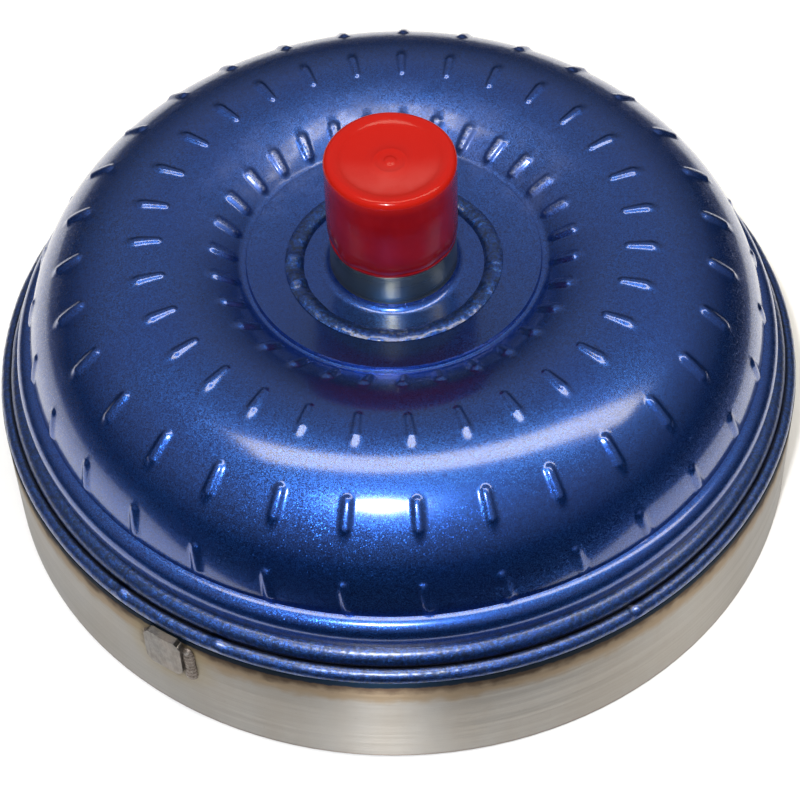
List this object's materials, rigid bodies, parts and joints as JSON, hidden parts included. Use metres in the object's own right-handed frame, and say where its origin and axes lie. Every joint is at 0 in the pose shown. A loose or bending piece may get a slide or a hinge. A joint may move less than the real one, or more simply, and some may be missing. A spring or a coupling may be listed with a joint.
{
  "type": "torque converter",
  "caption": "Welded automatic transmission torque converter: blue domed impeller shell with vane tab dimples, bare steel cover, capped pump hub, turbine, stator and lock-up clutch inside.",
  "frame": {"origin": "centre of the front cover's mounting face, on the turning axis", "axes": "+Z along the turning axis from the front cover to the pump hub; +X and +Y across, with two of the six bolt holes on the Y axis"},
  "size_m": [0.311, 0.311, 0.1564],
  "materials": {
    "blue_paint": "dark blue metallic enamel with fine flake, glossy",
    "cover_steel": "bare machined steel with faint turning lines and straw heat tint near the weld",
    "hub_steel": "ground bare steel, slightly oiled",
    "weight_steel": "welded steel, heat darkened",
    "red_vinyl": "soft glossy dipped vinyl",
    "vane_steel": "pressed steel, copper brazed at the edges",
    "machined_steel": "machined or blanked steel",
    "spring_steel": "dark oil-tempered spring steel",
    "friction_paper": "brown paper-based friction material",
    "seal_ring": "dark filled polymer seal",
    "cast_aluminium": "die-cast aluminium",
    "bearing_steel": "hardened, ground and polished steel"
  },
  "bodies": {
    "housing": {"front_cover": "cover_steel", "pilot": "cover_steel", "impeller_shell": "blue_paint", "impeller_vanes": "vane_steel", "impeller_core_ring": "vane_steel", "closing_weld_upper": "blue_paint", "closing_weld_lower": "blue_paint", "pump_hub": "hub_steel", "hub_weld": "blue_paint", "balance_weight": "weight_steel", "weight_welds": "weight_steel", "front_bearing_front_race": "bearing_steel", "rear_bearing_rear_race": "bearing_steel"},
    "cap": {"shipping_cap": "red_vinyl"},
    "turbine": {"turbine_shell": "vane_steel", "turbine_vanes": "vane_steel", "turbine_core_ring": "vane_steel", "turbine_hub": "machined_steel", "turbine_rivets": "machined_steel", "piston_seal": "seal_ring", "driven_plate": "machined_steel", "front_bearing_rear_race": "bearing_steel", "middle_bearing_front_race": "bearing_steel"},
    "damper": {"damper_front_plate": "machined_steel", "damper_rear_plate": "machined_steel", "damper_stop_pins": "machined_steel", "damper_springs": "spring_steel"},
    "piston": {"clutch_piston": "machined_steel", "friction_lining": "friction_paper"},
    "inner_race": {"inner_race": "bearing_steel"},
    "stator": {"stator_wheel": "cast_aluminium", "front_end_cap": "bearing_steel", "rear_end_cap": "bearing_steel", "outer_race": "bearing_steel", "clutch_rollers": "bearing_steel", "clutch_springs": "spring_steel", "front_snap_ring": "spring_steel", "rear_snap_ring": "spring_steel", "middle_bearing_rear_race": "bearing_steel", "rear_bearing_front_race": "bearing_steel"},
    "front_cage": {"front_bearing_cage": "bearing_steel", "front_bearing_needles": "bearing_steel"},
    "middle_cage": {"middle_bearing_cage": "bearing_steel", "middle_bearing_needles": "bearing_steel"},
    "rear_cage": {"rear_bearing_cage": "bearing_steel", "rear_bearing_needles": "bearing_steel"}
  },
  "joints": [
    {"name": "cap_pull", "type": "slide", "parent": "housing", "child": "cap", "axis": [0, 0, 1], "range_m": [0, 0.12]},
    {"name": "turbine_spin", "type": "hinge", "parent": "housing", "child": "turbine", "pos_m": [0, 0, 0.0335], "axis": [0, 0, 1], "continuous": true},
    {"name": "damper_twist", "type": "hinge", "parent": "turbine", "child": "damper", "pos_m": [0, 0, 0.026], "axis": [0, 0, 1], "range_deg": [-4, 4], "deforming": ["damper_springs"]},
    {"name": "lockup_apply", "type": "slide", "parent": "damper", "child": "piston", "axis": [0, 0, -1], "range_m": [0, 0.0008]},
    {"name": "stator_shaft_spin", "type": "hinge", "parent": "housing", "child": "inner_race", "pos_m": [0, 0, 0.071], "axis": [0, 0, 1], "continuous": true},
    {"name": "stator_freewheel", "type": "hinge", "parent": "inner_race", "child": "stator", "pos_m": [0, 0, 0.071], "axis": [0, 0, 1], "continuous": true},
    {"name": "front_cage_spin", "type": "hinge", "parent": "housing", "child": "front_cage", "pos_m": [0, 0, 0.018], "axis": [0, 0, 1], "continuous": true},
    {"name": "middle_cage_spin", "type": "hinge", "parent": "housing", "child": "middle_cage", "pos_m": [0, 0, 0.049], "axis": [0, 0, 1], "continuous": true},
    {"name": "rear_cage_spin", "type": "hinge", "parent": "housing", "child": "rear_cage", "pos_m": [0, 0, 0.093], "axis": [0, 0, 1], "continuous": true}
  ],
  "couplings": [
    {"joint": "front_cage_spin", "follows": "turbine_spin", "ratio": 0.5},
    {"joint": "middle_cage_spin", "follows": "turbine_spin", "ratio": 0.5},
    {"joint": "rear_cage_spin", "follows": "stator_freewheel", "ratio": 0.5}
  ]
}
